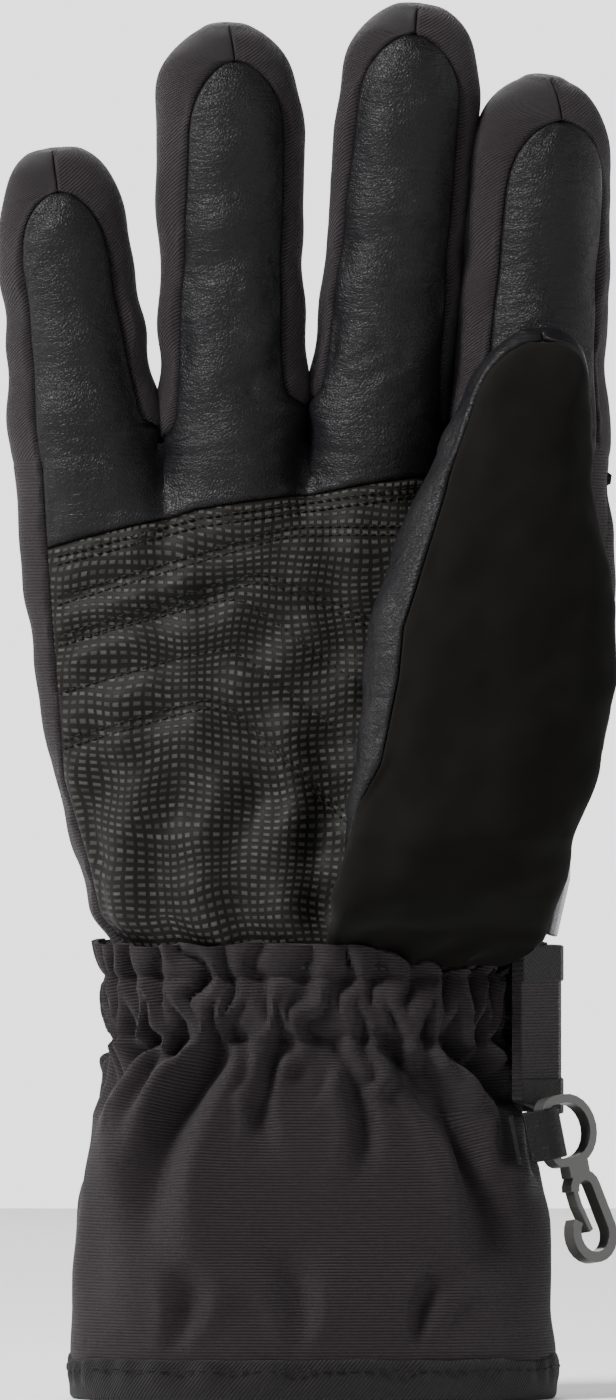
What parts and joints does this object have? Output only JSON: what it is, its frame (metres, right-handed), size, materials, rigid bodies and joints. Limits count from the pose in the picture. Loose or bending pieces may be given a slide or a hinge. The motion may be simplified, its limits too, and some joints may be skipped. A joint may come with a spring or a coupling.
{
  "type": "ski glove",
  "caption": "Insulated right-hand ski glove with leather palm, softshell thumb, elasticated wrist, short cuff, wrist strap and a ring-and-hook clip.",
  "frame": {"origin": "the middle of the cuff's foot, on the surface the glove stands on", "axes": "+Z towards the fingertips; the palm faces -Y and the back of the hand faces +Y; +X towards the thumb"},
  "size_m": [0.1318, 0.0837, 0.2991],
  "materials": {
    "rib_fabric": "fine ribbed polyester with a soft sheen",
    "leather": "fine-grained goatskin, creased, satin",
    "grip_fabric": "quilted, with small raised grey dashes",
    "softshell": "smooth, matt",
    "liner": "brushed tricot over wadding",
    "elastic": "knitted elastic",
    "binding": "folded twill tape",
    "hook_and_loop": "hook-and-loop tape",
    "clip_plastic": "satin moulded",
    "reflective": "reflective cord"
  },
  "bodies": {
    "hand": {"back_piping": "reflective", "cuff_fabric": "rib_fabric", "cuff_lining": "liner", "hand_back_fabric": "rib_fabric", "hand_liner": "liner", "hem_binding": "binding", "palm_grip_patch": "grip_fabric", "palm_leather": "leather", "strap_fixed": "rib_fabric", "strap_fixed_binding_lower": "binding", "strap_fixed_binding_upper": "binding", "strap_loop_tape": "hook_and_loop", "tab_anchor": "leather", "thenar_softshell": "softshell", "wrist_elastic_lower": "elastic", "wrist_elastic_upper": "elastic", "wrist_fabric": "rib_fabric", "wrist_liner": "liner"},
    "clip": {"clip_frame": "clip_plastic"},
    "gate": {"clip_gate": "clip_plastic"},
    "tab": {"clip_leather_tab": "leather"},
    "index_lower": {"index_lower_fabric": "rib_fabric", "index_lower_leather": "leather", "index_lower_liner": "liner"},
    "index_tip": {"index_tip_fabric": "rib_fabric", "index_tip_leather": "leather", "index_tip_liner": "liner"},
    "little_lower": {"little_lower_fabric": "rib_fabric", "little_lower_leather": "leather", "little_lower_liner": "liner"},
    "little_tip": {"little_tip_fabric": "rib_fabric", "little_tip_leather": "leather", "little_tip_liner": "liner"},
    "middle_lower": {"middle_lower_fabric": "rib_fabric", "middle_lower_leather": "leather", "middle_lower_liner": "liner"},
    "middle_tip": {"middle_tip_fabric": "rib_fabric", "middle_tip_leather": "leather", "middle_tip_liner": "liner"},
    "ring_lower": {"ring_lower_fabric": "rib_fabric", "ring_lower_leather": "leather", "ring_lower_liner": "liner"},
    "ring_tip": {"ring_tip_fabric": "rib_fabric", "ring_tip_leather": "leather", "ring_tip_liner": "liner"},
    "strap_flap": {"strap_flap": "rib_fabric", "strap_flap_binding_lower": "binding", "strap_flap_binding_upper": "binding", "strap_hook_tape": "hook_and_loop"},
    "thumb_lower": {"thumb_lower_leather": "leather", "thumb_lower_liner": "liner", "thumb_lower_softshell": "softshell"},
    "thumb_tip": {"thumb_tip_leather": "leather", "thumb_tip_liner": "liner", "thumb_tip_softshell": "softshell"}
  },
  "joints": [
    {"name": "index_knuckle", "type": "hinge", "parent": "hand", "child": "index_lower", "pos_m": [0.0473, -0.00578, 0.208], "axis": [0.999, 0, -0.0436], "range_deg": [0, 12], "stiffness_Nm_per_rad": 0.06},
    {"name": "index_bend", "type": "hinge", "parent": "index_lower", "child": "index_tip", "pos_m": [0.04874, -0.00454, 0.24097], "axis": [0.999, 0, -0.0436], "range_deg": [0, 85], "stiffness_Nm_per_rad": 0.03},
    {"name": "middle_knuckle", "type": "hinge", "parent": "hand", "child": "middle_lower", "pos_m": [0.015, -0.00429, 0.208], "axis": [0.9956, 0, -0.0941], "range_deg": [0, 60], "stiffness_Nm_per_rad": 0.06},
    {"name": "middle_bend", "type": "hinge", "parent": "middle_lower", "child": "middle_tip", "pos_m": [0.01858, -0.00433, 0.24583], "axis": [0.9956, 0, -0.0941], "range_deg": [0, 85], "stiffness_Nm_per_rad": 0.03},
    {"name": "ring_knuckle", "type": "hinge", "parent": "hand", "child": "ring_lower", "pos_m": [-0.0159, -0.0049, 0.208], "axis": [0.9998, 0, 0.0174], "range_deg": [0, 75], "stiffness_Nm_per_rad": 0.06},
    {"name": "ring_bend", "type": "hinge", "parent": "ring_lower", "child": "ring_tip", "pos_m": [-0.01653, -0.0049, 0.24399], "axis": [0.9998, 0, 0.0174], "range_deg": [0, 85], "stiffness_Nm_per_rad": 0.03},
    {"name": "little_knuckle", "type": "hinge", "parent": "hand", "child": "little_lower", "pos_m": [-0.0475, -0.00481, 0.208], "axis": [0.9925, 0, 0.1219], "range_deg": [0, 75], "stiffness_Nm_per_rad": 0.06},
    {"name": "little_bend", "type": "hinge", "parent": "little_lower", "child": "little_tip", "pos_m": [-0.05079, -0.00364, 0.2348], "axis": [0.9925, 0, 0.1219], "range_deg": [0, 85], "stiffness_Nm_per_rad": 0.03},
    {"name": "thumb_root", "type": "hinge", "parent": "hand", "child": "thumb_lower", "pos_m": [0.0331, -0.04252, 0.1216], "axis": [-1, 0, 0], "range_deg": [-30, 0], "stiffness_Nm_per_rad": 0.08},
    {"name": "thumb_knuckle", "type": "hinge", "parent": "thumb_lower", "child": "thumb_tip", "pos_m": [0.04025, -0.04072, 0.1784], "axis": [-1, 0, 0], "range_deg": [-35, 0], "stiffness_Nm_per_rad": 0.04},
    {"name": "strap_fold", "type": "hinge", "parent": "hand", "child": "strap_flap", "pos_m": [0.01547, 0.04088, 0.079], "axis": [0, 0, -1], "range_deg": [0, 110]},
    {"name": "tab_fold", "type": "hinge", "parent": "hand", "child": "tab", "pos_m": [0.0452, -0.0104, 0.05583], "axis": [-0.1908, 0, 0.9816], "range_deg": [-20, 4], "stiffness_Nm_per_rad": 0.004},
    {"name": "clip_swivel", "type": "hinge", "parent": "tab", "child": "clip", "pos_m": [0.0507, -0.0104, 0.0569], "axis": [-0.1908, 0, 0.9816], "range_deg": [-70, 4]},
    {"name": "clip_gate_spring", "type": "hinge", "parent": "clip", "child": "gate", "pos_m": [0.0562, -0.00781, 0.04422], "axis": [0.644, -0.7547, 0.1252], "range_deg": [0, 18], "stiffness_Nm_per_rad": 0.01}
  ]
}
